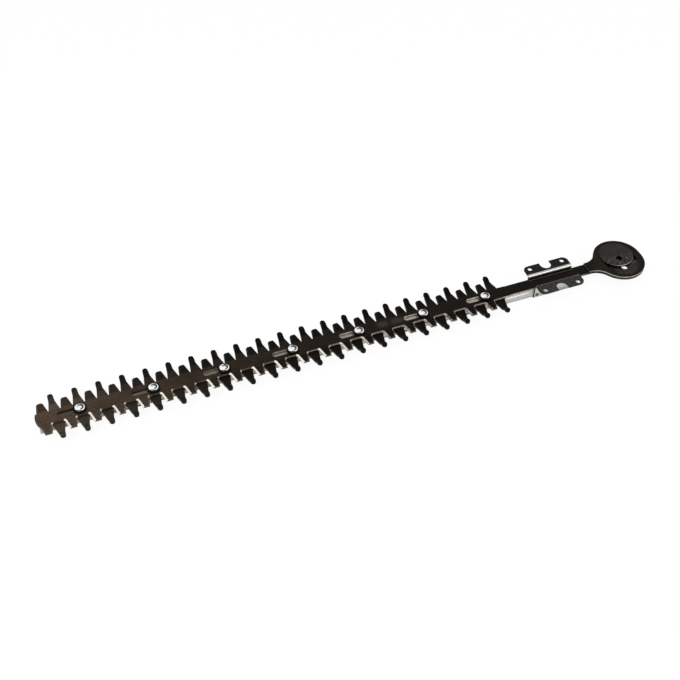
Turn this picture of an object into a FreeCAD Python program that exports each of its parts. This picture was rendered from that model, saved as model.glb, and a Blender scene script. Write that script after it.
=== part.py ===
import FreeCAD, Part
import math
import os
import Sketcher

# A hedge trimmer blade. The upper blade, the cutter, slides along X on the fixed finger bar below it.
# A channel rail stiffens the finger bar, a folded saddle round the end of the rail carries the whole blade,
# and shoulder bolts in long slots guide the cutter. Its round head is a yoke with an eccentric drive disc.
# Millimetres. The origin is the centre of the four ear holes, on the top faces of the saddle's ears.
# +X runs from the blade's tip to its drive head, and +Z is up. The cutter is at the tip end of its stroke.

DIMENSIONS = {
    # Teeth of both blades
    "tooth_pitch": 26,
    "tooth_count": 21,
    "body_width": 16,
    # Fixed finger bar
    "bar_thickness": 2.5,
    "bar_nose_reach": 18.2,
    "finger_reach": 47.05,
    "finger_span": 62.2,
    "finger_root_width": 13.4,
    "finger_neck_width": 6.8,
    "finger_tip_width": 6,
    "finger_root_radius": 3.5,
    "rise_gap": 0.8,
    "rise_run": 4.5,
    # Sliding cutter
    "cutter_thickness": 2.5,
    "cutter_span": 43,
    "cutter_root_width": 12.5,
    "cutter_tip_width": 7.5,
    "tooth_flare": 1.4,
    "tooth_flare_run": 1.6,
    "bevel_width": 1.5,
    "bevel_land": 0.5,
    "nose_reach": 9.5,
    "nose_radius": 22,
    "body_end_reach": 12,
    "stem_taper": 3,
    "slide_gap": 0.1,
    "stem_gap": 0.4,
    # Yoke head and eccentric
    "stem_reach": 61.3,
    "yoke_reach": 45,
    "yoke_thickness": 2,
    "yoke_side_wall": 8.7,
    "yoke_end_wall": 4.4,
    "neck_radius": 20.4,
    "throw": 7.5,
    "disc_diameter": 41,
    "disc_thickness": 2.8,
    "disc_gap": 0.2,
    "disc_chamfer": 0.4,
    "shaft_bore": 7.5,
    "floor_hole_diameter": 7.8,
    "floor_hole_offset": 13.3,
    # Guide bolts with their washers and nuts
    "bolt_count": 7,
    "tip_bolt_inset": 25,
    "drive_bolt_inset": 15,
    "slot_width": 7,
    "slot_end_gap": 3.9,
    "slot_tip_gap": 5.9,
    "shoulder_gap": 0.2,
    "bolt_head_diameter": 11.2,
    "bolt_head_height": 2.6,
    "bolt_rim_height": 0.6,
    "socket_width": 5.5,
    "socket_depth": 1.8,
    "thread_diameter": 5,
    "thread_gap": 0.1,
    "thread_chamfer": 0.6,
    "bolt_stick_out": 0.8,
    "washer_diameter": 14.5,
    "washer_thickness": 1.2,
    "nut_width": 8,
    "nut_height": 4,
    # Support rail
    "rail_width": 16,
    "rail_height": 8.2,
    "rail_sheet": 1.5,
    "rail_bend": 0.8,
    "rail_nose_reach": 20,
    # Mounting saddle
    "saddle_length": 58.8,
    "saddle_sheet": 1.5,
    "saddle_bend": 0.8,
    "ear_rise": 4.4,
    "ear_width": 15.1,
    "ear_corner": 6.5,
    "ear_hole_diameter": 5.5,
    "ear_hole_margin": 7.65,
    "ear_hole_inset": 9.8,
    "notch_width": 13.6,
    "notch_web": 4.2,
    # Rivets between the saddle and the rail
    "rivet_diameter": 3,
    "rivet_gap": 0.05,
    "rivet_head_diameter": 4.6,
    "rivet_head_height": 1,
    "rivet_margin": 3.8,
}

# Levels, above the top faces of the ears
CUTTER_TOP = "(-dims.ear_rise)"
CUTTER_BOTTOM = f"({CUTTER_TOP} - dims.cutter_thickness)"
BAR_TOP = f"({CUTTER_BOTTOM} - dims.slide_gap)"
RAIL_TOP = f"({BAR_TOP} - dims.bar_thickness)"
RAIL_BOTTOM = f"({RAIL_TOP} - dims.rail_height)"
SADDLE_BOTTOM = f"({RAIL_BOTTOM} - dims.saddle_bend - dims.saddle_sheet)"
WASHER_BOTTOM = f"({CUTTER_TOP} + dims.slide_gap)"
BOLT_SEAT = f"({WASHER_BOTTOM} + dims.washer_thickness)"
NUT_TOP = f"({RAIL_TOP} - dims.rail_sheet)"
RIVET_LEVEL = f"(({NUT_TOP} - dims.rail_bend + {RAIL_BOTTOM}) / 2)"

# Stations along the blade
SADDLE_END = "(dims.saddle_length / 2)"
LAST_FINGER = f"(-{SADDLE_END} - dims.finger_reach)"
TOOTH_RUN = "((dims.tooth_count - 1) * dims.tooth_pitch)"
FIRST_FINGER = f"({LAST_FINGER} - {TOOTH_RUN})"
FIRST_TOOTH = f"({FIRST_FINGER} - dims.tooth_pitch / 2)"
BODY_END = f"({LAST_FINGER} + dims.body_end_reach)"
FIRST_BOLT = f"({FIRST_FINGER} + dims.tip_bolt_inset)"
BOLT_RUN = f"({TOOTH_RUN} - dims.tip_bolt_inset - dims.drive_bolt_inset)"
BOLT_SPACING = f"({BOLT_RUN} / (dims.bolt_count - 1))"
SHAFT = f"({SADDLE_END} + dims.stem_reach)"

# Half widths across the blade
BODY_HALF = "(dims.body_width / 2)"
RAIL_HALF = "(dims.rail_width / 2)"
STEM_HALF = f"({RAIL_HALF} - dims.stem_gap)"
CUTTER_HALF = "(dims.cutter_span / 2)"
FINGER_HALF = "(dims.finger_span / 2)"
RISE_START = f"({CUTTER_HALF} + dims.rise_gap)"
RISE_END = f"({RISE_START} + dims.rise_run)"
RISE = "(dims.cutter_thickness + dims.slide_gap)"
WALL_HALF = f"({RAIL_HALF} + dims.saddle_sheet)"
EAR_HALF = f"({WALL_HALF} + dims.ear_width)"
EAR_HOLE_X = f"({SADDLE_END} - dims.ear_hole_margin)"
EAR_HOLE_Y = f"({WALL_HALF} + dims.ear_hole_inset)"
NOTCH_END = f"({WALL_HALF} + dims.notch_web)"

# Yoke head: two round ends as far apart as the disc's travel across the blade needs
DISC_RADIUS = "(dims.disc_diameter / 2)"
YOKE_SLOT_HALF = f"({DISC_RADIUS} + dims.disc_gap)"
HEAD_RADIUS = f"({YOKE_SLOT_HALF} + dims.yoke_side_wall)"
HEAD_CENTRE = "(dims.throw + dims.yoke_end_wall - dims.yoke_side_wall)"
YOKE_START = f"({SHAFT} - dims.yoke_reach)"
NECK_Y = f"({STEM_HALF} + dims.neck_radius)"
NECK_SWING = f"({HEAD_RADIUS} + dims.neck_radius)"
NECK_X = f"({SHAFT} - sqrt({NECK_SWING}^2 - ({NECK_Y} - {HEAD_CENTRE})^2))"
TOUCH_X = f"({SHAFT} + ({NECK_X} - {SHAFT}) * {HEAD_RADIUS} / {NECK_SWING})"
TOUCH_Y = f"({HEAD_CENTRE} + ({NECK_Y} - {HEAD_CENTRE}) * {HEAD_RADIUS} / {NECK_SWING})"

# Bolts and slots
STROKE = "(2 * dims.throw)"
SHOULDER_RADIUS = "(dims.slot_width / 2 - dims.shoulder_gap)"
THREAD_RADIUS = "(dims.thread_diameter / 2)"
THREAD_HOLE_RADIUS = f"({THREAD_RADIUS} + dims.thread_gap)"
RIVET_RADIUS = "(dims.rivet_diameter / 2)"

LEFT, RIGHT = 1, -1

doc = FreeCAD.newDocument("hedge_trimmer_blade")
sheet = doc.addObject("Spreadsheet::Sheet", "dims")
for row, (alias, size) in enumerate(DIMENSIONS.items(), start=1):
    sheet.set(f"A{row}", alias)
    sheet.set(f"B{row}", str(size))
    sheet.setAlias(f"B{row}", alias)
doc.recompute()


def number(expression):
    """The value of an expression on the sheet."""
    return float(sheet.evalExpression(expression))


def negative(expression):
    return f"(-{expression})"


def origin_part(body, role):
    """One of a body's own origin planes or axes."""
    return next(feature for feature in body.Origin.OriginFeatures if feature.Role == role)


def new_body(label):
    body = doc.addObject("PartDesign::Body", label)
    body.Label = label
    return body


def new_sketch(body, name, plane="XY_Plane", offset="0"):
    """A sketch on one of the body's origin planes, moved along the plane's normal."""
    sketch = body.newObject("Sketcher::SketchObject", name)
    sketch.AttachmentSupport = [(origin_part(body, plane), "")]
    sketch.MapMode = "FlatFace"
    sketch.setExpression("AttachmentOffset.Base.z", offset)
    return sketch


def bind(sketch, constraint, expression):
    """Adds a dimension to a sketch and ties it to the sheet."""
    index = sketch.addConstraint(constraint)
    sketch.setExpression(f"Constraints[{index}]", expression)


def pin(sketch, curve, end, x, y):
    """Holds one end of a curve, or its centre, at a place."""
    bind(sketch, Sketcher.Constraint("DistanceX", -1, 1, curve, end, number(x)), x)
    bind(sketch, Sketcher.Constraint("DistanceY", -1, 1, curve, end, number(y)), y)


def draw_arc(sketch, start, end, centre, turn):
    """An arc between two points round a centre. Returns its index and the numbers of its two ends."""
    spoke = start.sub(centre)
    first = math.atan2(spoke.y, spoke.x)
    last = math.atan2(end.y - centre.y, end.x - centre.x)
    circle = Part.Circle(centre, FreeCAD.Vector(0, 0, 1), spoke.Length)
    if turn == LEFT:
        return sketch.addGeometry(Part.ArcOfCircle(circle, first, last)), 1, 2
    return sketch.addGeometry(Part.ArcOfCircle(circle, last, first)), 2, 1


def draw_outline(sketch, corners):
    """A closed outline. Each corner is (x, y) at the end of a line, or (x, y, centre x, centre y, turn)
    at the end of an arc, all as expressions."""
    places = [FreeCAD.Vector(number(corner[0]), number(corner[1]), 0) for corner in corners]
    curves = []
    for index, corner in enumerate(corners):
        start, end = places[index - 1], places[index]
        if len(corner) == 2:
            curves.append((sketch.addGeometry(Part.LineSegment(start, end)), 1, 2))
            continue
        centre = FreeCAD.Vector(number(corner[2]), number(corner[3]), 0)
        curves.append(draw_arc(sketch, start, end, centre, corner[4]))
    for index, corner in enumerate(corners):
        curve, _, end = curves[index]
        following, start, _ = curves[(index + 1) % len(curves)]
        sketch.addConstraint(Sketcher.Constraint("Coincident", curve, end, following, start))
        pin(sketch, curve, end, corner[0], corner[1])
        if len(corner) > 2:
            chord = places[index].sub(places[index - 1])
            upright = abs(chord.y) > abs(chord.x)
            kind, expression = ("DistanceX", corner[2]) if upright else ("DistanceY", corner[3])
            bind(sketch, Sketcher.Constraint(kind, -1, 1, curve, 3, number(expression)), expression)


def draw_circle(sketch, x, y, radius):
    place = FreeCAD.Vector(number(x), number(y), 0)
    circle = sketch.addGeometry(Part.Circle(place, FreeCAD.Vector(0, 0, 1), number(radius)))
    pin(sketch, circle, 3, x, y)
    bind(sketch, Sketcher.Constraint("Radius", circle, number(radius)), radius)


def draw_hexagon(sketch, width):
    """A hexagon round the sketch's origin, by its width across flats."""
    corner, flat = f"({width} / sqrt(3))", f"({width} / 2)"
    near = f"({corner} / 2)"
    draw_outline(sketch, [
        (corner, "0"), (near, flat), (negative(near), flat),
        (negative(corner), "0"), (negative(near), negative(flat)), (near, negative(flat)),
    ])


def below(corner):
    """The mirror image of a corner across the horizontal axis."""
    x, y, *arc = corner
    return (x, negative(y)) if not arc else (x, negative(y), arc[0], negative(arc[1]), arc[2])


def beside(corner):
    """The mirror image of a corner across the upright axis."""
    x, y, *arc = corner
    return (negative(x), y) if not arc else (negative(x), y, negative(arc[0]), arc[1], arc[2])


def mirrored(corners, image):
    """The other half of an outline that is alike on both sides of an axis, as corners that run back."""
    images = [image(corner) for corner in corners]
    arcs = [corner[2:] for corner in images[1:]] + [()]
    return [corner[:2] + arc for corner, arc in zip(reversed(images), reversed(arcs))]


def pad(body, sketch, length):
    feature = body.newObject("PartDesign::Pad", f"{sketch.Name}_pad")
    feature.Profile = sketch
    feature.setExpression("Length", length)
    doc.recompute()
    return feature


def cut_through(body, sketch, reverse=False):
    """Cuts a sketch through everything on one side of its plane, and makes sure that it cut."""
    before = body.Shape.Volume
    feature = body.newObject("PartDesign::Pocket", f"{sketch.Name}_cut")
    feature.Profile = sketch
    feature.Type = "ThroughAll"
    feature.Reversed = reverse
    doc.recompute()
    if body.Shape.Volume >= before:
        raise RuntimeError(f"{feature.Name} cuts nothing")
    return feature


def repeat(body, features, spacing, count):
    """Copies features along X."""
    pattern = body.newObject("PartDesign::LinearPattern", f"{features[0].Name}_row")
    pattern.Originals = features
    pattern.Direction = (origin_part(body, "X_Axis"), [""])
    pattern.Mode = "Spacing"
    pattern.setExpression("Offset", spacing)
    pattern.setExpression("Occurrences", count)
    body.Tip = pattern
    doc.recompute()
    return pattern


def stem_and_head(start):
    """The upper edge of the stem from a station to the yoke head, and on to the head's far side."""
    return [
        (start, STEM_HALF),
        (NECK_X, STEM_HALF),
        (TOUCH_X, TOUCH_Y, NECK_X, NECK_Y, LEFT),
        (f"({SHAFT} + {HEAD_RADIUS})", HEAD_CENTRE, SHAFT, HEAD_CENTRE, RIGHT),
    ]


def nose(tip, radius):
    """The upper end of a round nose, and the arc back to it from below."""
    shoulder = f"({tip} + {radius} - sqrt({radius}^2 - {BODY_HALF}^2))"
    return (shoulder, BODY_HALF, f"({tip} + {radius})", "0", RIGHT)


def guide_slot(sketch, first_bolt):
    """The slot that lets the cutter move its stroke along a bolt's shoulder, and is longer at both ends."""
    radius = "(dims.slot_width / 2)"
    left = f"({first_bolt} - {STROKE} - {SHOULDER_RADIUS} - dims.slot_tip_gap + {radius})"
    right = f"({first_bolt} + {SHOULDER_RADIUS} + dims.slot_end_gap - {radius})"
    draw_outline(sketch, [
        (left, radius, left, "0", RIGHT),
        (right, radius),
        (right, negative(radius), right, "0", RIGHT),
        (left, negative(radius)),
    ])


def make_cutter_blade():
    """The sliding blade: toothed strip, stem and head from one sheet, with ground tooth flanks."""
    body = new_body("cutter_blade")
    body.setExpression("Placement.Base.z", CUTTER_BOTTOM)
    blank = new_sketch(body, "cutter_blank")
    round_nose = nose(f"({FIRST_TOOTH} - dims.nose_reach)", "dims.nose_radius")
    edge = [round_nose[:2], (BODY_END, BODY_HALF)] + stem_and_head(f"({BODY_END} + dims.stem_taper)")
    draw_outline(blank, [round_nose] + edge[1:] + mirrored(edge, below))
    pad(body, blank, "dims.cutter_thickness")

    flare_end = f"({BODY_HALF} + dims.tooth_flare_run)"
    half_tooth = [
        (BODY_HALF, "(dims.cutter_root_width + 2 * dims.tooth_flare)"),
        (flare_end, "dims.cutter_root_width"),
        (CUTTER_HALF, "dims.cutter_tip_width"),
    ]
    stations = [(negative(across), width) for across, width in reversed(half_tooth)] + half_tooth
    sections = [tooth_section(body, index, *station) for index, station in enumerate(stations)]
    tooth = body.newObject("PartDesign::AdditiveLoft", "cutter_tooth_pair")
    tooth.Profile = sections[0]
    tooth.Sections = sections[1:]
    tooth.Ruled = True
    doc.recompute()
    repeat(body, [tooth], "dims.tooth_pitch", "dims.tooth_count")

    slot = new_sketch(body, "cutter_slot", offset="dims.cutter_thickness")
    guide_slot(slot, FIRST_BOLT)
    repeat(body, [cut_through(body, slot)], BOLT_SPACING, "dims.bolt_count")

    floor_hole = new_sketch(body, "cutter_floor_hole", offset="dims.cutter_thickness")
    draw_circle(floor_hole, SHAFT, "(-dims.floor_hole_offset)", "(dims.floor_hole_diameter / 2)")
    cut_through(body, floor_hole)
    return body


def tooth_section(body, index, across, width):
    """A tooth's section at one place across the blade: a thin land, and a ground bevel on both flanks."""
    sketch = new_sketch(body, f"cutter_tooth_section_{index}", "XZ_Plane", negative(across))
    half = f"({FIRST_TOOTH} + {width} / 2)"
    other_half = f"({FIRST_TOOTH} - {width} / 2)"
    draw_outline(sketch, [
        (other_half, "0"), (half, "0"), (half, "dims.bevel_land"),
        (f"({half} - dims.bevel_width)", "dims.cutter_thickness"),
        (f"({other_half} + dims.bevel_width)", "dims.cutter_thickness"),
        (other_half, "dims.bevel_land"),
    ])
    return sketch


def make_yoke_plate():
    """The plate on top of the cutter's head, open where the eccentric disc runs."""
    body = new_body("yoke_plate")
    body.setExpression("Placement.Base.z", CUTTER_TOP)
    blank = new_sketch(body, "yoke_blank")
    edge = stem_and_head(YOKE_START)
    draw_outline(blank, edge + mirrored(edge, below))
    pad(body, blank, "dims.yoke_thickness")

    opening = new_sketch(body, "yoke_opening", offset="dims.yoke_thickness")
    left, right = f"({SHAFT} - {YOKE_SLOT_HALF})", f"({SHAFT} + {YOKE_SLOT_HALF})"
    draw_outline(opening, [
        (right, "dims.throw", SHAFT, "dims.throw", RIGHT),
        (right, "(-dims.throw)"),
        (left, "(-dims.throw)", SHAFT, "(-dims.throw)", RIGHT),
        (left, "dims.throw"),
    ])
    cut_through(body, opening)
    return body


def make_eccentric_disc():
    """The drive disc at the far end of the yoke's opening. Its shaft bore is one throw off its centre."""
    body = new_body("eccentric_disc")
    body.setExpression("Placement.Base.x", SHAFT)
    body.setExpression("Placement.Base.z", f"{CUTTER_TOP} + dims.slide_gap")
    blank = new_sketch(body, "disc_blank")
    draw_circle(blank, "0", "dims.throw", DISC_RADIUS)
    draw_circle(blank, "0", "0", "(dims.shaft_bore / 2)")
    disc = pad(body, blank, "dims.disc_thickness")

    rims = [
        f"Edge{index}" for index, edge in enumerate(disc.Shape.Edges, start=1)
        if edge.Length > 2 * number("dims.disc_diameter")
    ]
    chamfer = body.newObject("PartDesign::Chamfer", "disc_rims")
    chamfer.Base = (disc, rims)
    chamfer.setExpression("Size", "dims.disc_chamfer")
    doc.recompute()
    return body


def make_finger_bar():
    """The fixed blade: a comb cut from sheet, whose finger tips are set up level with the cutter's top."""
    comb = new_body("finger_comb")
    comb.setExpression("Placement.Base.z", RAIL_TOP)
    depth = f"(dims.bar_thickness + {RISE})"
    strip = new_sketch(comb, "bar_strip")
    round_nose = nose(f"({FIRST_FINGER} - dims.bar_nose_reach)", "dims.nose_radius")
    edge = [
        round_nose[:2],
        (BODY_END, BODY_HALF),
        (f"({BODY_END} + dims.stem_taper)", STEM_HALF),
        (SADDLE_END, STEM_HALF),
    ]
    draw_outline(strip, [round_nose] + edge[1:] + mirrored(edge, below))
    pad(comb, strip, depth)

    pair = new_sketch(comb, "finger_pair")
    draw_finger_pair(pair)
    repeat(comb, [pad(comb, pair, depth)], "dims.tooth_pitch", "dims.tooth_count")

    hole = new_sketch(comb, "bar_bolt_hole", offset=depth)
    draw_circle(hole, FIRST_BOLT, "0", THREAD_HOLE_RADIUS)
    repeat(comb, [cut_through(comb, hole)], BOLT_SPACING, "dims.bolt_count")

    fold = new_body("finger_fold")
    fold.setExpression("Placement.Base.z", RAIL_TOP)
    start = f"({FIRST_FINGER} - dims.bar_nose_reach - dims.tooth_pitch)"
    section = new_sketch(fold, "finger_fold_section", "YZ_Plane", start)
    draw_fold_section(section)
    pad(fold, section, f"({SADDLE_END} - {start} + dims.tooth_pitch)")

    bar = doc.addObject("Part::Common", "finger_bar")
    bar.Label = "finger_bar"
    bar.Base = comb
    bar.Tool = fold
    doc.recompute()
    return bar


def draw_finger_pair(sketch):
    """Two opposite fingers in plan: rounded into the strip, tapered to where the tips rise, then slim."""
    root, neck, tip = (f"(dims.finger_{part}_width / 2)" for part in ("root", "neck", "tip"))
    radius = "dims.finger_root_radius"
    run, narrowing = f"({RISE_START} - {BODY_HALF})", f"({root} - {neck})"
    slant = f"sqrt({run}^2 + {narrowing}^2)"
    foot = f"({FIRST_FINGER} + {root} + {radius} * ({slant} - {narrowing}) / {run})"
    level, end = f"({BODY_HALF} + {radius})", f"({FINGER_HALF} - {tip})"
    right = [
        (foot, BODY_HALF),
        (f"({foot} - {radius} * {run} / {slant})", f"({level} - {radius} * {narrowing} / {slant})",
         foot, level, RIGHT),
        (f"({FIRST_FINGER} + {neck})", RISE_START),
        (f"({FIRST_FINGER} + {tip})", end),
    ]
    left = mirrored(right, across_finger)
    upper = right + [left[0] + (FIRST_FINGER, end, LEFT)] + left[1:]
    draw_outline(sketch, upper + mirrored(upper, below))


def across_finger(corner):
    """The mirror image of a corner across the first finger's middle."""
    x, y, *arc = corner
    image = (f"(2 * {FIRST_FINGER} - {x})", y)
    return image if not arc else image + (f"(2 * {FIRST_FINGER} - {arc[0]})", arc[1], arc[2])


def draw_fold_section(sketch):
    """The finger bar's sheet seen along the blade: flat in the middle, and set up at both finger tips."""
    thickness = "dims.bar_thickness"
    beyond = f"({FINGER_HALF} + dims.rise_run)"
    top = f"({thickness} + {RISE})"
    lower = [(RISE_START, "0"), (RISE_END, RISE), (beyond, RISE)]
    upper = [(beyond, top), (RISE_END, top), (RISE_START, thickness)]
    far_upper = [(negative(across), level) for across, level in reversed(upper)]
    far_lower = [(negative(across), level) for across, level in reversed(lower)]
    draw_outline(sketch, lower + upper + far_upper + far_lower)


def make_support_rail():
    """The channel under the finger bar, open below, with the bolts' nuts inside it."""
    body = new_body("support_rail")
    start = f"({FIRST_FINGER} - dims.rail_nose_reach)"
    section = new_sketch(body, "rail_section", "YZ_Plane", start)
    inner = f"({RAIL_HALF} - dims.rail_sheet)"
    turn_y = f"({inner} - dims.rail_bend)"
    turn_z = f"({RAIL_TOP} - dims.rail_sheet - dims.rail_bend)"
    under = f"({RAIL_TOP} - dims.rail_sheet)"
    draw_outline(section, [
        (negative(RAIL_HALF), RAIL_BOTTOM),
        (negative(RAIL_HALF), turn_z),
        (negative(turn_y), RAIL_TOP, negative(turn_y), turn_z, RIGHT),
        (turn_y, RAIL_TOP),
        (RAIL_HALF, turn_z, turn_y, turn_z, RIGHT),
        (RAIL_HALF, RAIL_BOTTOM),
        (inner, RAIL_BOTTOM),
        (inner, turn_z),
        (turn_y, under, turn_y, turn_z, LEFT),
        (negative(turn_y), under),
        (negative(inner), turn_z, negative(turn_y), turn_z, LEFT),
        (negative(inner), RAIL_BOTTOM),
    ])
    pad(body, section, f"({SADDLE_END} - {start})")

    hole = new_sketch(body, "rail_bolt_hole", offset=RAIL_TOP)
    draw_circle(hole, FIRST_BOLT, "0", THREAD_HOLE_RADIUS)
    repeat(body, [cut_through(body, hole)], BOLT_SPACING, "dims.bolt_count")
    cut_rivet_holes(body, "rail", RAIL_HALF)
    return body


def cut_rivet_holes(body, name, half_width):
    """The rivets' holes through both walls of a channel."""
    holes = new_sketch(body, f"{name}_rivet_holes", "XZ_Plane", negative(half_width))
    for side in (SADDLE_END, negative(SADDLE_END)):
        inset = "dims.rivet_margin" if side == SADDLE_END else "(-dims.rivet_margin)"
        draw_circle(holes, f"({side} - {inset})", RIVET_LEVEL, f"({RIVET_RADIUS} + dims.rivet_gap)")
    return cut_through(body, holes, reverse=True)


def make_mounting_saddle():
    """The folded saddle: a web under the rail, a wall up each side, and two flat ears."""
    body = new_body("mounting_saddle")
    section = new_sketch(body, "saddle_section", "YZ_Plane", negative(SADDLE_END))
    draw_saddle_section(section)
    folded = pad(body, section, "dims.saddle_length")

    corners = [
        f"Edge{index}" for index, edge in enumerate(folded.Shape.Edges, start=1)
        if stands_at(edge, number(SADDLE_END), number(EAR_HALF))
    ]
    rounded = body.newObject("PartDesign::Fillet", "ear_corners")
    rounded.Base = (folded, corners)
    rounded.setExpression("Radius", "dims.ear_corner")
    doc.recompute()

    cuts = new_sketch(body, "ear_holes_and_notches")
    for x in (EAR_HOLE_X, negative(EAR_HOLE_X)):
        for y in (EAR_HOLE_Y, negative(EAR_HOLE_Y)):
            draw_circle(cuts, x, y, "(dims.ear_hole_diameter / 2)")
    draw_notches(cuts)
    cut_through(body, cuts)
    cut_rivet_holes(body, "saddle", WALL_HALF)
    return body


def stands_at(edge, x, y):
    """Whether an edge is upright at a corner of the ears."""
    tolerance = 1e-4
    box = edge.BoundBox
    upright = box.XLength < tolerance and box.YLength < tolerance
    return upright and abs(abs(box.XMin) - x) < tolerance and abs(abs(box.YMin) - y) < tolerance


def draw_saddle_section(sketch):
    """The saddle's sheet seen along the blade, with round bends at the web and at the ears."""
    inner_bend, outer_bend = "dims.saddle_bend", "(dims.saddle_bend + dims.saddle_sheet)"
    web = f"({SADDLE_BOTTOM} + dims.saddle_sheet)"
    low_y, low_z = f"({WALL_HALF} - {outer_bend})", f"({SADDLE_BOTTOM} + {outer_bend})"
    high_y, high_z = f"({WALL_HALF} + {inner_bend})", f"(-{outer_bend})"
    ear_under = "(-dims.saddle_sheet)"
    outside = [
        (low_y, SADDLE_BOTTOM),
        (WALL_HALF, low_z, low_y, low_z, LEFT),
        (WALL_HALF, high_z),
        (high_y, ear_under, high_y, high_z, RIGHT),
        (EAR_HALF, ear_under),
        (EAR_HALF, "0"),
        (high_y, "0"),
        (RAIL_HALF, high_z, high_y, high_z, LEFT),
        (RAIL_HALF, low_z),
        (low_y, web, low_y, low_z, RIGHT),
    ]
    draw_outline(sketch, outside + mirrored(outside, beside))


def draw_notches(sketch):
    """A round-ended notch into the outer edge of each ear."""
    half = "(dims.notch_width / 2)"
    beyond = f"({EAR_HALF} + {half})"
    turn = f"({NOTCH_END} + {half})"
    draw_outline(sketch, [
        (negative(half), beyond),
        (negative(half), turn),
        (half, turn, "0", turn, LEFT),
        (half, beyond),
    ])
    draw_outline(sketch, [
        (negative(half), negative(beyond)),
        (negative(half), negative(turn)),
        (half, negative(turn), "0", negative(turn), RIGHT),
        (half, negative(beyond)),
    ])


def make_guide_bolts():
    """Round-headed shoulder bolts with a hexagon socket. The shoulder runs in the cutter's slot."""
    body = new_body("guide_bolts")
    body.setExpression("Placement.Base.x", FIRST_BOLT)
    body.setExpression("Placement.Base.z", BOLT_SEAT)
    section = new_sketch(body, "bolt_section", "XZ_Plane")
    head_radius = "(dims.bolt_head_diameter / 2)"
    height, rim = "dims.bolt_head_height", "dims.bolt_rim_height"
    dome_centre = f"(({height}^2 - {head_radius}^2 - {rim}^2) / (2 * ({height} - {rim})))"
    shoulder_end = f"({BAR_TOP} - {BOLT_SEAT})"
    end = f"({NUT_TOP} - dims.nut_height - dims.bolt_stick_out - {BOLT_SEAT})"
    draw_outline(section, [
        ("0", height, "0", dome_centre, LEFT),
        ("0", end),
        (f"({THREAD_RADIUS} - dims.thread_chamfer)", end),
        (THREAD_RADIUS, f"({end} + dims.thread_chamfer)"),
        (THREAD_RADIUS, shoulder_end),
        (SHOULDER_RADIUS, shoulder_end),
        (SHOULDER_RADIUS, "0"),
        (head_radius, "0"),
        (head_radius, rim),
    ])
    turned = body.newObject("PartDesign::Revolution", "bolt_turned")
    turned.Profile = section
    turned.ReferenceAxis = (section, ["V_Axis"])
    doc.recompute()

    socket = new_sketch(body, "bolt_socket", offset=height)
    draw_hexagon(socket, "dims.socket_width")
    drive = body.newObject("PartDesign::Pocket", "bolt_socket_cut")
    drive.Profile = socket
    drive.setExpression("Length", "dims.socket_depth")
    doc.recompute()
    repeat(body, [turned, drive], BOLT_SPACING, "dims.bolt_count")
    return body


def make_guide_washers():
    body = new_body("guide_washers")
    body.setExpression("Placement.Base.x", FIRST_BOLT)
    body.setExpression("Placement.Base.z", WASHER_BOTTOM)
    ring = new_sketch(body, "washer_ring")
    draw_circle(ring, "0", "0", "(dims.washer_diameter / 2)")
    draw_circle(ring, "0", "0", f"({SHOULDER_RADIUS} + dims.shoulder_gap)")
    repeat(body, [pad(body, ring, "dims.washer_thickness")], BOLT_SPACING, "dims.bolt_count")
    return body


def make_guide_nuts():
    body = new_body("guide_nuts")
    body.setExpression("Placement.Base.x", FIRST_BOLT)
    body.setExpression("Placement.Base.z", f"{NUT_TOP} - dims.nut_height")
    blank = new_sketch(body, "nut_blank")
    draw_hexagon(blank, "dims.nut_width")
    draw_circle(blank, "0", "0", THREAD_HOLE_RADIUS)
    repeat(body, [pad(body, blank, "dims.nut_height")], BOLT_SPACING, "dims.bolt_count")
    return body


def make_saddle_rivets():
    """A rivet near both ends of both walls, with a low tapered head outside and a flat one inside."""
    body = new_body("saddle_rivets")
    body.setExpression("Placement.Base.x", f"dims.rivet_margin - {SADDLE_END}")
    body.setExpression("Placement.Base.z", RIVET_LEVEL)
    section = new_sketch(body, "rivet_section", "YZ_Plane")
    head_radius, height = "(dims.rivet_head_diameter / 2)", "dims.rivet_head_height"
    face, tail = f"({RAIL_HALF} - dims.rail_sheet)", f"({RAIL_HALF} - dims.rail_sheet - {height})"
    crown = f"({WALL_HALF} + {height})"
    corners = [
        (tail, "0"), (crown, "0"), (crown, RIVET_RADIUS), (WALL_HALF, head_radius),
        (WALL_HALF, RIVET_RADIUS), (face, RIVET_RADIUS), (face, head_radius), (tail, head_radius),
    ]
    draw_outline(section, corners)
    draw_outline(section, [beside(corner) for corner in corners])
    turned = body.newObject("PartDesign::Revolution", "rivet_turned")
    turned.Profile = section
    turned.ReferenceAxis = (section, ["H_Axis"])
    doc.recompute()
    repeat(body, [turned], "dims.saddle_length - 2 * dims.rivet_margin", "2")
    return body


def check(pieces):
    """Stops if anything in the document failed or a piece has no sound solid."""
    for item in doc.Objects:
        if "Invalid" in item.State or "Error" in item.State:
            raise RuntimeError(f"{item.Name} failed: {item.getStatusString()}")
    for piece in pieces:
        if piece.Shape.isNull() or not piece.Shape.isValid() or not piece.Shape.Solids:
            raise RuntimeError(f"{piece.Label} has no valid solid")


pieces = [
    make_cutter_blade(),
    make_yoke_plate(),
    make_eccentric_disc(),
    make_finger_bar(),
    make_support_rail(),
    make_mounting_saddle(),
    make_guide_bolts(),
    make_guide_washers(),
    make_guide_nuts(),
    make_saddle_rivets(),
]
doc.recompute()
check(pieces)
os.makedirs("parts", exist_ok=True)
for piece in pieces:
    piece.Shape.exportStep(f"parts/{piece.Label}.step")
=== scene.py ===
"""Looks of the hedge trimmer blade: materials, floor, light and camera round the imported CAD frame.

Places are metres in the part's frame: x runs from the tip to the drive head, y to the far side, z up.
Colours are linear. Tones are stops along the blade, each (x, colour).
"""

import bpy
from mathutils import Matrix, Vector


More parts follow.
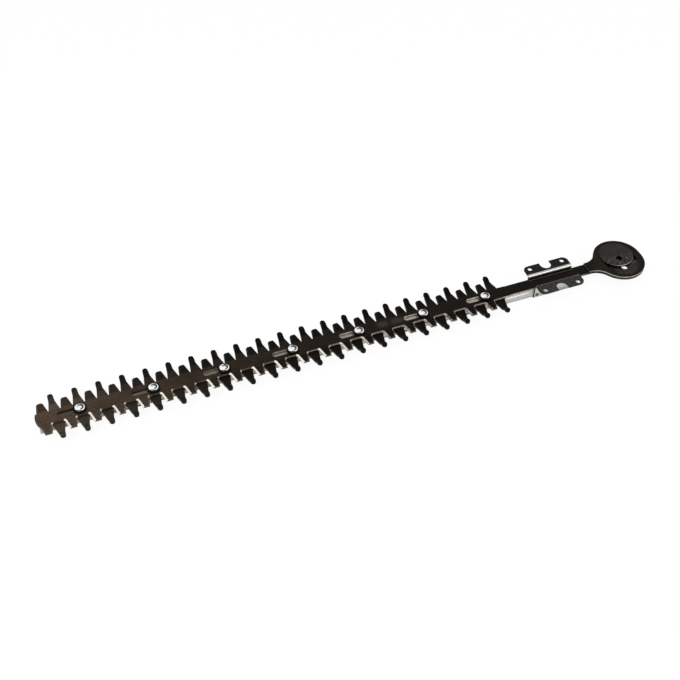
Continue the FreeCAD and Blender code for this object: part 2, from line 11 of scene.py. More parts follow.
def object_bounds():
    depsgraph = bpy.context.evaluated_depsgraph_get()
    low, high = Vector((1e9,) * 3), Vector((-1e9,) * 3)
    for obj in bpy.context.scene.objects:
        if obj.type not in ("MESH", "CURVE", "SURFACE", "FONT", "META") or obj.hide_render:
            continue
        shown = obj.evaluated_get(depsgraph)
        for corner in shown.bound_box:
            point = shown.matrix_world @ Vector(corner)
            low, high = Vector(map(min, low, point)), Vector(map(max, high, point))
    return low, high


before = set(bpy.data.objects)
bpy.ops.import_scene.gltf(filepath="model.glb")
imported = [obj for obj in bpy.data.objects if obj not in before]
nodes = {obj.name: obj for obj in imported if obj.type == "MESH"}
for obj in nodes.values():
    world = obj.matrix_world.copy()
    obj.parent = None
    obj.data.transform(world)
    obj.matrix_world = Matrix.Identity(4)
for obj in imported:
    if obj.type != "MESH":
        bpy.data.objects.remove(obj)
cad_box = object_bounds()

# Drive shaft and guide bolts
SHAFT_X = 0.0907
FIRST_BOLT_X = -0.57145
BOLT_SPACING = 0.08

# The photo's view, found by fitting the fingers' tips and the blade's outline
CAMERA_PLACE = (-0.690504, -0.886155, 0.993826)
CAMERA_RIGHT = (0.9203745, -0.3892076, 0.037792)
CAMERA_UP = (0.2547326, 0.6700758, 0.6972157)
CAMERA_LENS = 66.065
CAMERA_SENSOR = 36
CAMERA_NEAREST = 0.01

# Floor, sky and lamps. A lamp has a name, a place, an aim, a size in metres and a power in watts.
FLOOR_REACH = 6
FLOOR_GAP = 0.0001
FLOOR_GREY = (0.9, 0.9, 0.9, 1)
FLOOR_GLOW = 0.92
SKY_WHITE = (1, 1, 1, 1)
SKY_LIGHT = 0.8
LAMPS = (
    ("left_softbox", (-1.4, -0.9, 1.5), (-0.3, 0, 0), 1.2, 22),
    ("right_softbox", (0.9, -1.3, 1.3), (-0.2, 0, 0), 1.2, 12),
)

# Fine relief: heights in metres, and the strength that the dark steels share
GRAIN_HEIGHT = 0.00005
GRAIN_STRENGTH = 0.6
PLATE_HEIGHT = 0.00004
FINE_HEIGHT = 0.00003

# The part of a noise's range that drives tones and gloss
NOISE_TONES = (0.25, 0.75)
NOISE_GLOSS = (0.3, 0.7)

# Normals along x that count as an end that faces the tip
FACES_TIP = (-0.7, -0.9)

# Cutter
CUTTER_TONES = (
    (-0.62, (0.092, 0.061, 0.041)), (-0.53, (0.066, 0.046, 0.031)), (-0.42, (0.034, 0.0225, 0.0155)),
    (-0.28, (0.018, 0.0132, 0.01)), (-0.02, (0.0086, 0.0062, 0.0045)), (0.13, (0.0115, 0.0086, 0.0064)),
)
CUTTER_EDGE_TONES = (
    (-0.6, (0.06, 0.045, 0.034)), (-0.38, (0.12, 0.095, 0.075)), (-0.28, (0.34, 0.29, 0.24)),
    (-0.08, (0.36, 0.31, 0.26)), (0.03, (0.2, 0.165, 0.135)), (0.046, (0.018, 0.015, 0.012)),
    (0.12, (0.018, 0.015, 0.012)),
)
SLOT_WALL_TONES = (
    (-0.6, (0.03, 0.026, 0.022)), (-0.47, (0.045, 0.04, 0.034)), (-0.425, (0.17, 0.155, 0.135)),
    (-0.345, (0.3, 0.275, 0.235)), (-0.3, (0.42, 0.385, 0.33)), (0.0, (0.56, 0.53, 0.46)),
)
SCRATCH = (0.11, 0.095, 0.08)
HEAD_RUBBED = (0.082, 0.07, 0.061)
FAR_TEETH_SHADE = (0.004, 0.0035, 0.003)
NEAR_TEETH = (0.005, 0.0035, 0.002)
SMUDGE = (0.05, 0.041, 0.036)
STEM_HIGHLIGHT = (0.1, 0.085, 0.052)
TOOTH_END = (0.05, 0.042, 0.034)
FAR_EDGE_SHADE = (0.014, 0.012, 0.01)
BEVEL_LIT_CREAM = ((0.88, 0.83, 0.74), (0.7, 0.64, 0.55))
BEVEL_MOTTLED = ((0.5, 0.44, 0.37), (0.13, 0.11, 0.09))
BEVEL_SHADED = ((0.16, 0.125, 0.105), (0.66, 0.61, 0.56))
BEVEL_TIP = (0.03, 0.024, 0.018)
BEVEL_ROOT_HIGHLIGHT = (0.82, 0.78, 0.72)
BEVEL_FAR_SHADE = (0.022, 0.018, 0.015)

# Finger bar
FINGER_TONES = (
    (-0.62, (0.092, 0.072, 0.05)), (-0.56, (0.046, 0.0365, 0.026)), (-0.52, (0.03, 0.0245, 0.018)),
    (-0.39, (0.0115, 0.0092, 0.0068)), (-0.1, (0.0105, 0.0088, 0.0068)), (0.1, (0.012, 0.01, 0.008)),
)
FAR_ROOT_LIGHT_TONES = (
    (-0.6, (0.106, 0.08, 0.057)), (-0.52, (0.038, 0.029, 0.021)), (-0.39, (0.024, 0.0185, 0.0135)),
    (-0.28, (0.018, 0.0148, 0.011)), (-0.2, (0.0112, 0.0094, 0.0072)),
)
SLOT_FLOOR_TONES = (
    (-0.6, (0.12, 0.11, 0.1)), (-0.49, (0.19, 0.18, 0.165)), (-0.42, (0.34, 0.315, 0.28)),
    (-0.335, (0.34, 0.315, 0.28)), (-0.26, (0.5, 0.465, 0.4)), (0.1, (0.62, 0.58, 0.5)),
)
SLOT_SHADOW_TONES = (
    (-0.5, (0.03, 0.026, 0.02)), (-0.43, (0.1, 0.09, 0.078)),
    (-0.34, (0.1, 0.09, 0.078)), (-0.27, (0.03, 0.026, 0.02)),
)
BAR_EDGE_TONES = ((-0.2, (0.2, 0.18, 0.16)), (-0.09, (0.62, 0.6, 0.57)), (0.0, (0.62, 0.6, 0.57)))
FAR_FINGER_SHADE = (0.0045, 0.004, 0.003)
NEAR_FINGER = (0.003, 0.0025, 0.002)
NEAR_RISE_SHADE = (0.002, 0.0017, 0.0014)
FINGER_EDGE = (0.016, 0.014, 0.012)

# Yoke plate and disc
YOKE_TONES = (
    (0.045, (0.0095, 0.0074, 0.0056)), (0.062, (0.015, 0.0118, 0.0085)),
    (0.13, (0.0102, 0.0082, 0.0064)),
)
YOKE_EDGE_HIGHLIGHT = (0.4, 0.375, 0.34)
YOKE_EDGE_LOW = (0.02, 0.017, 0.014)
YOKE_EDGE_FAR = (0.03, 0.026, 0.022)
YOKE_END = (0.055, 0.047, 0.039)
DISC_FLAT = (0.036, 0.029, 0.0245)
DISC_SPECK = (0.15, 0.13, 0.114)
DISC_RIM_HIGHLIGHT = (0.34, 0.32, 0.3)
DISC_PITS_AND_SHADE = (0.012, 0.01, 0.008)

# Rail and saddle
# Rail tones along the blade; the darker stretch under the fingers is painted shade
RAIL_SHADED_TONES = (
    (-0.615, (0.42, 0.385, 0.335)), (-0.59, (0.34, 0.32, 0.29)), (-0.38, (0.36, 0.335, 0.3)),
    (-0.28, (0.52, 0.48, 0.44)), (-0.1, (0.52, 0.49, 0.46)), (-0.075, (0.5, 0.5, 0.48)),
    (0.04, (0.5, 0.5, 0.48)),
)
ZINC_DIRT_AND_SHADE = (0.045, 0.038, 0.032)
ZINC_LOW_SHADE = (0.15, 0.148, 0.14)
SADDLE_ZINC = (0.55, 0.55, 0.53)
SADDLE_INSIDE = (0.5, 0.495, 0.48)
SADDLE_FOOT_SHADE = (0.03, 0.028, 0.024)
SADDLE_END = (0.008, 0.008, 0.008)
NEAR_EAR_SHADE = (0.04, 0.04, 0.038)
FAR_EAR_SHADE = (0.0135, 0.0135, 0.0135)

# Bolts, and the directions (x, y) in which their painted shade lies
BOLT_PLATE = ((0.97, 0.975, 0.97), (0.82, 0.83, 0.83))
SOCKET_WALL_SHADE = (0.02, 0.02, 0.02)
SOCKET_RING_SHADE = (0.015, 0.015, 0.017)
BOLT_FAR_SHADE = (0.24, 0.24, 0.25)
BOLT_FOOT_SHADE = (0.05, 0.05, 0.05)
WALL_SIDE = (0.91, 0.41)
RING_SIDE = (0.99, -0.12)
NEAR_SIDE = (-0.36, -0.93)

# Small fasteners: two colours and the least roughness
WASHER = ((0.008, 0.0075, 0.007), (0.014, 0.012, 0.011), 0.45)
NUT = ((0.5, 0.5, 0.49), (0.36, 0.36, 0.35), 0.3)
RIVET = ((0.12, 0.115, 0.11), (0.06, 0.055, 0.05), 0.4)
FASTENER_ROUGHER = 0.12


class Graph:
    """A material's node tree, with short calls for the nodes that the finishes share.

    A value is a number or another node's output. A colour is three numbers or another node's output.
    """

    def __init__(self, name):
        self.material = bpy.data.materials.new(name)
        self.material.use_nodes = True
        self.tree = self.material.node_tree
        self.shader = self.tree.nodes["Principled BSDF"]
        self.output = self.tree.nodes["Material Output"]
        self.coordinates = self.tree.nodes.new("ShaderNodeTexCoord")
        self.places = {}

    def link(self, source, socket):
        self.tree.links.new(source, socket)

    def feed(self, socket, value):
        if isinstance(value, bpy.types.NodeSocket):
            self.link(value, socket)
        elif isinstance(value, tuple):
            socket.default_value = (*value, 1)
        else:
            socket.default_value = value

    def place(self, stretch):
        """Object coordinates in metres, stretched along the axes."""
        if stretch not in self.places:
            mapping = self.tree.nodes.new("ShaderNodeMapping")
            mapping.inputs["Scale"].default_value = stretch
            self.link(self.coordinates.outputs["Object"], mapping.inputs["Vector"])
            self.places[stretch] = mapping.outputs["Vector"]
        return self.places[stretch]

    def axis(self, name, of="Object"):
        split = self.tree.nodes.new("ShaderNodeSeparateXYZ")
        self.link(self.coordinates.outputs[of], split.inputs["Vector"])
        return split.outputs[name]

    def normal(self, name):
        return self.axis(name, "Normal")

    def noise(self, scale, detail=3.0, rough=0.55, stretch=(1, 1, 1), warp=0.0):
        texture = self.tree.nodes.new("ShaderNodeTexNoise")
        self.link(self.place(stretch), texture.inputs["Vector"])
        texture.inputs["Scale"].default_value = scale
        texture.inputs["Detail"].default_value = detail
        texture.inputs["Roughness"].default_value = rough
        texture.inputs["Distortion"].default_value = warp
        return texture.outputs["Fac"]

    def cells(self, scale, stretch):
        texture = self.tree.nodes.new("ShaderNodeTexVoronoi")
        self.link(self.place(stretch), texture.inputs["Vector"])
        texture.inputs["Scale"].default_value = scale
        return texture.outputs["Distance"]

    def ramp(self, value, low, high, start=0.0, end=1.0, smooth=True):
        """Goes from start to end while the value goes from low to high, which may be the smaller one."""
        node = self.tree.nodes.new("ShaderNodeMapRange")
        node.interpolation_type = "SMOOTHSTEP" if smooth else "LINEAR"
        self.feed(node.inputs["Value"], value)
        node.inputs["From Min"].default_value = low
        node.inputs["From Max"].default_value = high
        node.inputs["To Min"].default_value = start
        node.inputs["To Max"].default_value = end
        return node.outputs["Result"]

    def span(self, value, start, full, fade, end):
        """A mask that rises from start to full and falls from fade to end."""
        return self.both(self.ramp(value, start, full), self.ramp(value, end, fade))

    def gloss(self, pattern, least, most):
        """Roughness that follows a noise."""
        return self.ramp(pattern, *NOISE_GLOSS, least, most)

    def math(self, operation, first, second=0.0, third=0.0):
        node = self.tree.nodes.new("ShaderNodeMath")
        node.operation = operation
        for socket, value in zip(node.inputs, (first, second, third)):
            self.feed(socket, value)
        return node.outputs["Value"]

    def both(self, *masks):
        result = masks[0]
        for mask in masks[1:]:
            result = self.math("MULTIPLY", result, mask)
        return result

    def mix(self, share, first, second):
        node = self.tree.nodes.new("ShaderNodeMix")
        node.data_type = "RGBA"
        self.feed(node.inputs["Factor"], share)
        self.feed(node.inputs["A"], first)
        self.feed(node.inputs["B"], second)
        return node.outputs["Result"]

    def shade(self, colour, pattern, low, high):
        """A colour times a noise that is mapped from low to high."""
        node = self.tree.nodes.new("ShaderNodeMix")
        node.data_type = "RGBA"
        node.blend_type = "MULTIPLY"
        node.inputs["Factor"].default_value = 1
        self.feed(node.inputs["A"], colour)
        self.link(self.ramp(pattern, *NOISE_TONES, low, high, smooth=False), node.inputs["B"])
        return node.outputs["Result"]

    def along(self, tones):
        """A colour that changes along the blade."""
        first, last = tones[0][0], tones[-1][0]
        node = self.tree.nodes.new("ShaderNodeValToRGB")
        self.link(self.ramp(self.axis("X"), first, last, smooth=False), node.inputs["Fac"])
        steps = node.color_ramp.elements
        for index, (place, colour) in enumerate(tones):
            position = (place - first) / (last - first)
            step = steps[index] if index < 2 else steps.new(position)
            step.position = position
            step.color = (*colour, 1)
        return node.outputs["Color"]

    def bump(self, height, distance, strength):
        node = self.tree.nodes.new("ShaderNodeBump")
        node.inputs["Distance"].default_value = distance
        node.inputs["Strength"].default_value = strength
        self.link(height, node.inputs["Height"])
        self.link(node.outputs["Normal"], self.shader.inputs["Normal"])

    def finish(self, colour, roughness, metallic=1.0):
        self.feed(self.shader.inputs["Base Color"], colour)
        self.feed(self.shader.inputs["Roughness"], roughness)
        self.feed(self.shader.inputs["Metallic"], metallic)
        return self.material


def dark_steel(graph, tones):
    """Oiled dark steel with stains, rolled grain, fine mottle and scratches along the blade."""
    grain = graph.noise(420, 3, 0.6, (0.35, 1, 1))
    stains = graph.noise(38, 4, 0.62, (0.6, 1, 1), 0.8)
    mottle = graph.noise(700, 3, 0.65)
    scratches = graph.noise(1100, 2, 0.5, (0.05, 1, 1))
    colour = graph.shade(graph.along(tones), stains, 0.72, 1.3)
    colour = graph.shade(colour, grain, 0.8, 1.22)
    colour = graph.shade(colour, mottle, 0.5, 1.5)
    colour = graph.mix(graph.ramp(scratches, 0.66, 0.8, 0.0, 0.16), colour, SCRATCH)
    graph.bump(grain, GRAIN_HEIGHT, GRAIN_STRENGTH)
    return colour, grain, stains


def cutter_finish():
    """Dark top, ground bevels on the teeth's flanks and sheared edges. Light and shade are painted on
    the bevels, the far edges, the far teeth and a line along the stem.
    """
    graph = Graph("cutter_steel")
    top, _, stains = dark_steel(graph, CUTTER_TONES)
    x, y, slope = graph.axis("X"), graph.axis("Y"), graph.normal("Z")
    speckle = graph.noise(260, 4, 0.65)

    # Top: rubbed floor of the yoke's opening, painted shade on the far teeth, darker near teeth, two
    # smudges, and a painted highlight along the stem's far top edge in the saddle
    rubbed = graph.both(graph.ramp(y, -0.004, -0.011), graph.span(x, 0.07, 0.082, 0.109, 0.115))
    top = graph.mix(rubbed, top, graph.shade(HEAD_RUBBED, graph.noise(420, 3, 0.6), 0.3, 1.9))
    # Painted shade: the far teeth's tops are darkened
    far_teeth_shade = graph.both(graph.ramp(y, 0.007, 0.0115), graph.ramp(x, -0.06, -0.1),
                           graph.ramp(x, -0.6, -0.42, 0.45, 0.82))
    top = graph.mix(far_teeth_shade, top, FAR_TEETH_SHADE)
    near_teeth = graph.both(graph.ramp(y, -0.0085, -0.012), graph.ramp(x, -0.5, -0.3, 0.0, 0.6))
    top = graph.mix(near_teeth, top, NEAR_TEETH)
    smudges = graph.math("ADD", graph.span(x, -0.233, -0.223, -0.22, -0.212),
                         graph.span(x, -0.215, -0.207, -0.203, -0.193))
    smudges = graph.both(smudges, graph.span(y, -0.006, 0.0, 0.002, 0.008))
    top = graph.mix(smudges, top, graph.shade(SMUDGE, graph.noise(300, 3, 0.6), 0.6, 1.4))
    # Painted highlight: a light line along the stem's far top edge, in the saddle
    line = graph.both(graph.span(y, 0.0051, 0.0055, 0.0058, 0.0062),
                      graph.span(x, -0.036, -0.03, 0.028, 0.034))
    top = graph.mix(line, top, STEM_HIGHLIGHT)

    # Bevels: painted light on the flanks that face the tip, cream and mottled to the right; painted
    # shade on the other flanks, with a painted highlight at their root; painted shade on the far side
    near = graph.ramp(y, 0.0065, 0.005)
    tip_flank = graph.ramp(graph.normal("X"), 0.1, -0.1)
    cream = graph.mix(graph.ramp(speckle, 0.5, 0.8), *BEVEL_LIT_CREAM)
    mottled = graph.mix(graph.ramp(speckle, 0.4, 0.62), *BEVEL_MOTTLED)
    bright = graph.mix(graph.ramp(x, -0.33, -0.19), cream, mottled)
    bright = graph.mix(graph.ramp(x, -0.609, -0.612), bright, BEVEL_TIP)
    shaded_flanks = graph.mix(graph.ramp(speckle, 0.45, 0.65), *BEVEL_SHADED)
    # Painted highlight at the root of these flanks
    shaded_flanks = graph.mix(graph.ramp(y, -0.0125, -0.0095), shaded_flanks, BEVEL_ROOT_HIGHLIGHT)
    bevels = graph.mix(tip_flank, shaded_flanks, bright)
    # Painted shade: the bevels on the far side are dark
    bevels = graph.mix(near, graph.shade(BEVEL_FAR_SHADE, speckle, 0.6, 1.5), bevels)

    # Edges: lighter to the right, with dark tooth ends, the slots' own walls and painted shade on the
    # far side
    edges = graph.along(CUTTER_EDGE_TONES)
    tooth_end = graph.both(graph.ramp(y, -0.0208, -0.0212), graph.ramp(graph.normal("Y"), -0.6, -0.8))
    edges = graph.mix(tooth_end, edges, TOOTH_END)
    in_slot = graph.ramp(graph.math("ABSOLUTE", y), 0.0055, 0.0045)
    edges = graph.mix(in_slot, edges, graph.along(SLOT_WALL_TONES))
    # Painted shade: the edges on the far side are dark
    edges = graph.mix(near, FAR_EDGE_SHADE, graph.shade(edges, speckle, 0.5, 1.5))

    steep = graph.ramp(slope, 0.35, 0.2)
    colour = graph.mix(steep, bevels, edges)
    colour = graph.mix(graph.ramp(slope, 0.88, 0.96), colour, top)

    # Torn edges scatter the light, so they are less metallic, and so are the near bevels that are
    # painted lit
    torn_edge = graph.both(steep, graph.ramp(x, 0.046, 0.043))
    metallic = graph.ramp(torn_edge, 0.0, 1.0, 1.0, 0.35, smooth=False)
    cream_bevel = graph.both(near, graph.span(slope, 0.3, 0.4, 0.88, 0.94), tip_flank,
                             graph.ramp(x, -0.19, -0.33))
    metallic = graph.math("SUBTRACT", metallic, graph.math("MULTIPLY", cream_bevel, 0.8))
    return graph.finish(colour, graph.gloss(stains, 0.36, 0.52), metallic)


def finger_finish():
    """Dark fingers, and a floor under the cutter's slots that the cutter has rubbed bright."""
    graph = Graph("finger_steel")
    top, grain, stains = dark_steel(graph, FINGER_TONES)
    x, y = graph.axis("X"), graph.axis("Y")
    across = graph.math("ABSOLUTE", y)
    speckle = graph.noise(260, 4, 0.65)

    # Far fingers: painted light on the roots, against the shade between the cutter's teeth, and painted
    # shade on the ends. Near ones are darker to the right, with painted shade on the rise.
    far_root_light = graph.span(y, 0.006, 0.009, 0.016, 0.022)
    top = graph.mix(far_root_light, top, graph.shade(graph.along(FAR_ROOT_LIGHT_TONES), grain, 0.75, 1.25))
    # Painted shade on the far fingers' ends
    far_end_shade = graph.both(graph.ramp(y, 0.0165, 0.022), graph.ramp(x, -0.6, -0.2, 0.35, 0.8))
    top = graph.mix(far_end_shade, top, FAR_FINGER_SHADE)
    far_tip_shade = graph.both(graph.ramp(y, 0.018, 0.028), graph.ramp(x, -0.38, -0.5, 0.0, 0.5))
    top = graph.mix(far_tip_shade, top, FAR_FINGER_SHADE)
    near_right = graph.both(graph.ramp(y, -0.006, -0.01), graph.ramp(x, -0.36, -0.24, 0.0, 0.45))
    top = graph.mix(near_right, top, NEAR_FINGER)
    # Painted shade on the near fingers' rise
    near_rise_shade = graph.both(graph.ramp(y, -0.012, -0.016), graph.ramp(graph.normal("Y"), 0.15, 0.35),
                           graph.ramp(x, -0.42, -0.34, 0.0, 0.65))
    top = graph.mix(near_rise_shade, top, NEAR_RISE_SHADE)

    # Slot floor, streaked along the blade, with a painted shadow line under the far wall
    streaks = graph.noise(750, 2, 0.5, (0.03, 1, 1))
    slot_floor = graph.shade(graph.along(SLOT_FLOOR_TONES), streaks, 0.4, 1.5)
    slot_floor = graph.mix(graph.ramp(y, 0.0024, 0.003), slot_floor, graph.along(SLOT_SHADOW_TONES))
    top = graph.mix(graph.ramp(across, 0.0062, 0.0048), top, slot_floor)

    # Edges: dark on the fingers, bright on the bar beside the stem
    edges = graph.mix(graph.ramp(across, 0.0102, 0.0088), graph.shade(FINGER_EDGE, speckle, 0.5, 1.6),
                      graph.along(BAR_EDGE_TONES))
    colour = graph.mix(graph.ramp(graph.normal("Z"), 0.4, 0.5), edges, top)
    return graph.finish(colour, graph.gloss(stains, 0.38, 0.55))


def yoke_finish():
    """Dark top. The near edge has a painted highlight along its upper part, and the end across the stem
    is matt.
    """
    graph = Graph("yoke_steel")
    top, _, stains = dark_steel(graph, YOKE_TONES)
    # Painted highlight along the upper part of the near edge; the lower part and the far side stay dark
    edge = graph.shade(YOKE_EDGE_HIGHLIGHT, graph.noise(240, 3, 0.6), 0.6, 1.3)
    edge = graph.mix(graph.ramp(graph.axis("Z"), -0.0035, -0.0039), edge, YOKE_EDGE_LOW)
    edge = graph.mix(graph.ramp(graph.axis("Y"), -0.006, -0.009), YOKE_EDGE_FAR, edge)
    stem_end = graph.both(graph.ramp(graph.normal("X"), *FACES_TIP),
                          graph.ramp(graph.axis("X"), 0.056, 0.052))
    edge = graph.mix(stem_end, edge, YOKE_END)
    colour = graph.mix(graph.ramp(graph.normal("Z"), 0.4, 0.6), edge, top)
    metallic = graph.ramp(stem_end, 0.0, 1.0, 1.0, 0.1, smooth=False)
    return graph.finish(colour, graph.gloss(stains, 0.38, 0.5), metallic)


def disc_finish():
    """Dark flat face, specked and pitted on its near half. The rim has a painted highlight on the near
    right, and the side walls are painted dark as shade.
    """
    graph = Graph("disc_steel")
    x, y, slope = graph.axis("X"), graph.axis("Y"), graph.normal("Z")
    fine = graph.noise(600, 3, 0.6)
    clouds = graph.noise(90, 3, 0.6, warp=0.5)
    flat = graph.shade(DISC_FLAT, clouds, 0.82, 1.25)
    flat = graph.shade(flat, fine, 0.9, 1.12)
    near_half = graph.ramp(y, 0.009, 0.001)
    specks = graph.both(near_half, graph.ramp(graph.noise(520, 2, 0.5), 0.52, 0.66))
    flat = graph.mix(specks, flat, DISC_SPECK)
    pits = graph.both(near_half, graph.ramp(graph.noise(430, 2, 0.5), 0.44, 0.34, 0.0, 0.8))
    flat = graph.mix(pits, flat, DISC_PITS_AND_SHADE)
    # Painted highlight on the rim's near right
    near_right = graph.math("SUBTRACT", graph.math("SUBTRACT", x, SHAFT_X), y)
    rim = graph.both(graph.span(slope, 0.3, 0.5, 0.85, 0.95), graph.ramp(near_right, -0.012, 0.012),
                     graph.ramp(graph.noise(260, 3), 0.35, 0.55, 0.7, 1.0))
    colour = graph.mix(rim, flat, DISC_RIM_HIGHLIGHT)
    # Painted shade: the side walls are dark, in the same colour as the pits
    colour = graph.mix(graph.ramp(slope, 0.3, 0.1), colour, DISC_PITS_AND_SHADE)
    graph.bump(fine, FINE_HEIGHT, 0.5)
    return graph.finish(colour, 0.5)


def zinc(graph, plate, shade_and_dirt):
    """Zinc plate with soft clouds, fine spangle and drawn lines along the sheet, and dark patches under
    a mask that stand for dirt and painted shade.
    """
    clouds = graph.noise(70, 4, 0.6, (0.5, 1, 1), 0.4)
    spangle = graph.cells(520, (0.6, 1, 1))
    drawn = graph.noise(900, 2, 0.5, (0.04, 1, 1))
    dirt = graph.ramp(graph.noise(300, 4, 0.7), 0.46, 0.6)
    colour = graph.shade(plate, clouds, 0.86, 1.12)
    colour = graph.shade(colour, spangle, 0.93, 1.06)
    colour = graph.shade(colour, drawn, 0.92, 1.07)
    colour = graph.mix(graph.both(shade_and_dirt, dirt), colour, ZINC_DIRT_AND_SHADE)
    graph.bump(graph.math("ADD", spangle, drawn), PLATE_HEIGHT, 0.35)
    return colour, clouds


def rail_finish():
    """Zinc with painted shade and dark dirt patches under the fingers, lighter at the tip and beside the
    stem, and painted shade at the foot.
    """
    graph = Graph("rail_zinc")
    # Painted shade, with dirt patches, under the fingers
    shade_and_dirt = graph.span(graph.axis("X"), -0.611, -0.6, -0.11, -0.08)
    colour, clouds = zinc(graph, graph.along(RAIL_SHADED_TONES), shade_and_dirt)
    # Painted shade: darker towards the foot
    colour = graph.mix(graph.ramp(graph.axis("Z"), -0.013, -0.018, 0.0, 0.35), colour, ZINC_LOW_SHADE)
    return graph.finish(colour, graph.gloss(clouds, 0.3, 0.44))


def saddle_finish():
    """Zinc walls with painted shade that darkens them downwards, and ears painted dark as shade,
    mottled.
    """
    graph = Graph("saddle_zinc")
    x, y, z = graph.axis("X"), graph.axis("Y"), graph.axis("Z")
    # Painted shade: the walls get dark patches and darken towards the bottom
    colour, clouds = zinc(graph, SADDLE_ZINC, graph.ramp(z, -0.012, -0.02, 0.0, 0.4))
    low = graph.both(graph.ramp(z, -0.009, -0.019, 0.0, 0.7), graph.ramp(x, -0.024, -0.008, 0.3, 1.0))
    colour = graph.mix(low, colour, ZINC_LOW_SHADE)

    # The far wall's inside, with painted shade at its foot beside the stem
    inside = graph.both(graph.ramp(y, 0.004, 0.006), graph.ramp(graph.normal("Y"), -0.2, -0.4))
    foot = graph.ramp(z, -0.0027, -0.0036)
    colour = graph.mix(inside, colour, graph.mix(foot, SADDLE_INSIDE, SADDLE_FOOT_SHADE))

    # The ears, painted dark as shade, and the near wall's bend into its ear
    ear = graph.mix(graph.ramp(y, -0.003, 0.003), NEAR_EAR_SHADE, FAR_EAR_SHADE)
    ear = graph.shade(ear, graph.noise(500, 4, 0.65), 0.4, 1.75)
    ear = graph.shade(ear, graph.noise(330, 2, 0.5), 0.5, 1.6)
    near_bend = graph.both(graph.ramp(y, -0.0089, -0.0097), graph.ramp(graph.normal("Z"), 0.45, 0.7))
    on_ear = graph.ramp(graph.math("ABSOLUTE", y), 0.0104, 0.0116)
    colour = graph.mix(graph.math("MAXIMUM", on_ear, near_bend), colour, ear)
    tip_end = graph.both(graph.ramp(graph.normal("X"), *FACES_TIP), graph.ramp(x, -0.024, -0.028))
    colour = graph.mix(tip_end, colour, SADDLE_END)
    return graph.finish(colour, graph.gloss(clouds, 0.3, 0.42))


def bolt_finish():
    """Bright plated heads with painted shade: on the socket wall and a ring on one side, grey on the far
    side, and dark at the foot.
    """
    graph = Graph("bolt_steel")

    # Each point's place from the axis of its own bolt
    first = FIRST_BOLT_X - BOLT_SPACING / 2
    wrapped = graph.math("WRAP", graph.axis("X"), first + BOLT_SPACING, first)
    away = graph.math("SUBTRACT", wrapped, FIRST_BOLT_X)
    across = graph.axis("Y")
    squares = graph.math("ADD", graph.math("POWER", away, 2.0), graph.math("POWER", across, 2.0))
    reach = graph.math("SQRT", squares)

    def towards(direction):
        return graph.math("ADD", graph.math("MULTIPLY", away, direction[0]),
                          graph.math("MULTIPLY", across, direction[1]))

    clouds = graph.noise(420, 3, 0.6)
    colour = graph.mix(graph.ramp(clouds, 0.35, 0.7), *BOLT_PLATE)
    # Painted shade on one side of the socket's wall
    wall = graph.both(graph.ramp(graph.normal("Z"), 0.5, 0.3), graph.ramp(reach, 0.0036, 0.0033),
                      graph.ramp(graph.math("DIVIDE", towards(WALL_SIDE), reach), -0.35, 0.05))
    colour = graph.mix(wall, colour, SOCKET_WALL_SHADE)
    # Painted shade: a dark crescent round the socket on one side
    ring = graph.both(graph.span(reach, 0.0023, 0.0028, 0.004, 0.0045),
                      graph.ramp(graph.math("DIVIDE", towards(RING_SIDE), reach), -0.1, 0.35))
    colour = graph.mix(ring, colour, SOCKET_RING_SHADE)
    # Painted shade: grey on the far side
    far_shade = graph.both(graph.ramp(graph.normal("Y"), 0.2, 0.5, 0.0, 0.5),
                          graph.ramp(reach, 0.0035, 0.0039))
    colour = graph.mix(far_shade, colour, BOLT_FAR_SHADE)
    # Painted shade: dark at the foot, on the near side and round the edge
    foot = graph.math("MAXIMUM", graph.ramp(towards(NEAR_SIDE), 0.0037, 0.0046),
                      graph.ramp(reach, 0.0051, 0.0054))
    colour = graph.mix(foot, colour, BOLT_FOOT_SHADE)
    graph.bump(clouds, PLATE_HEIGHT, 0.3)
    return graph.finish(colour, graph.gloss(clouds, 0.16, 0.26), 0.55)


def fastener(name, light, dark, roughness):
    graph = Graph(name)
    clouds = graph.noise(500, 3, 0.6)
    colour = graph.mix(graph.ramp(clouds, 0.35, 0.7), light, dark)
    graph.bump(graph.noise(1500, 2), FINE_HEIGHT, 0.3)
    return graph.finish(colour, graph.gloss(clouds, roughness, roughness + FASTENER_ROUGHER))


def make_floor():
    """A pale floor that shows as white and still takes the blade's soft shadow."""
    level = cad_box[0][2] - FLOOR_GAP
    corners = [(-FLOOR_REACH, -FLOOR_REACH, level), (FLOOR_REACH, -FLOOR_REACH, level),
               (FLOOR_REACH, FLOOR_REACH, level), (-FLOOR_REACH, FLOOR_REACH, level)]
    mesh = bpy.data.meshes.new("floor")
    mesh.from_pydata(corners, [], [(0, 1, 2, 3)])
    floor = bpy.data.objects.new("floor", mesh)
    bpy.context.scene.collection.objects.link(floor)
    graph = Graph("floor_white")
    tree = graph.tree
    tree.nodes.remove(graph.shader)
    matt = tree.nodes.new("ShaderNodeBsdfDiffuse")
    matt.inputs["Color"].default_value = FLOOR_GREY
    glow = tree.nodes.new("ShaderNodeEmission")
    path = tree.nodes.new("ShaderNodeLightPath")
    seen = graph.math("MAXIMUM", path.outputs["Is Camera Ray"], path.outputs["Is Glossy Ray"])
    seen = graph.math("MAXIMUM", seen, path.outputs["Is Transmission Ray"])
    mixed = tree.nodes.new("ShaderNodeMixShader")
    graph.link(graph.math("MULTIPLY", seen, FLOOR_GLOW), mixed.inputs["Fac"])
    graph.link(matt.outputs["BSDF"], mixed.inputs[1])
    graph.link(glow.outputs["Emission"], mixed.inputs[2])
    graph.link(mixed.outputs["Shader"], graph.output.inputs["Surface"])
    mesh.materials.append(graph.material)


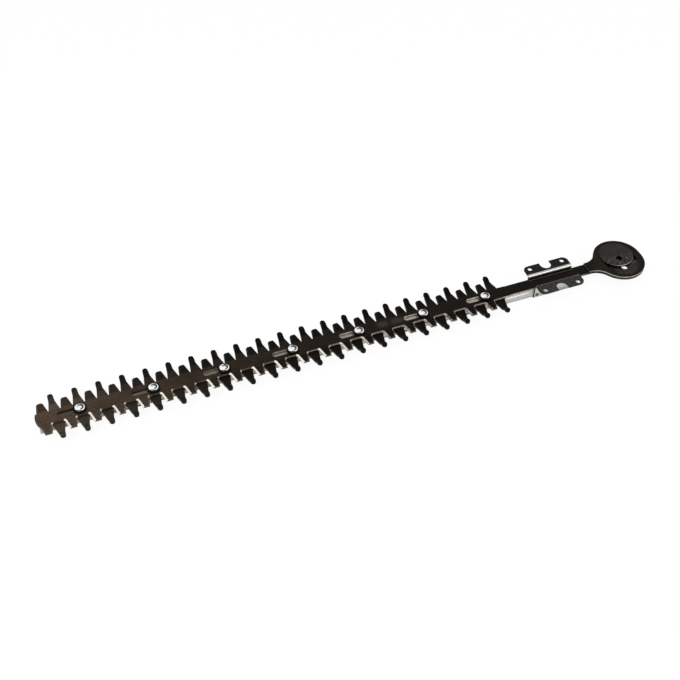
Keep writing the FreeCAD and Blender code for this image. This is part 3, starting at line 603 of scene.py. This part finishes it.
def make_world():
    """An even white sky. The camera sees it at full strength, and it lights the part a little less."""
    world = bpy.data.worlds.new("studio")
    bpy.context.scene.world = world
    world.use_nodes = True
    tree = world.node_tree
    background = tree.nodes["Background"]
    background.inputs["Color"].default_value = SKY_WHITE
    path = tree.nodes.new("ShaderNodeLightPath")
    level = tree.nodes.new("ShaderNodeMapRange")
    level.inputs["To Min"].default_value = SKY_LIGHT
    tree.links.new(path.outputs["Is Camera Ray"], level.inputs["Value"])
    tree.links.new(level.outputs["Result"], background.inputs["Strength"])


def make_lamp(name, place, aim, size, power):
    lamp = bpy.data.lights.new(name, "AREA")
    lamp.shape = "DISK"
    lamp.size = size
    lamp.energy = power
    light = bpy.data.objects.new(name, lamp)
    light.location = place
    light.rotation_euler = (Vector(aim) - Vector(place)).to_track_quat("-Z", "Y").to_euler()
    bpy.context.scene.collection.objects.link(light)


def make_camera():
    camera = bpy.data.cameras.new("photo_view")
    camera.sensor_width = CAMERA_SENSOR
    camera.lens = CAMERA_LENS
    camera.clip_start = CAMERA_NEAREST
    view = bpy.data.objects.new("photo_view", camera)
    right = Vector(CAMERA_RIGHT)
    up = Vector(CAMERA_UP)
    back = right.cross(up)
    turn = Matrix((right, up, back)).transposed().to_4x4()
    view.matrix_world = Matrix.Translation(CAMERA_PLACE) @ turn
    bpy.context.scene.collection.objects.link(view)
    bpy.context.scene.camera = view


finishes = {
    "cutter_blade": cutter_finish(),
    "finger_bar": finger_finish(),
    "yoke_plate": yoke_finish(),
    "eccentric_disc": disc_finish(),
    "support_rail": rail_finish(),
    "mounting_saddle": saddle_finish(),
    "guide_bolts": bolt_finish(),
    "guide_washers": fastener("washer_steel", *WASHER),
    "guide_nuts": fastener("nut_steel", *NUT),
    "saddle_rivets": fastener("rivet_steel", *RIVET),
}
for node, finish in finishes.items():
    mesh = nodes[node].data
    mesh.materials.clear()
    mesh.materials.append(finish)

make_floor()
make_world()
for lamp in LAMPS:
    make_lamp(*lamp)
make_camera()

scene = bpy.context.scene
scene.view_settings.view_transform = "Standard"
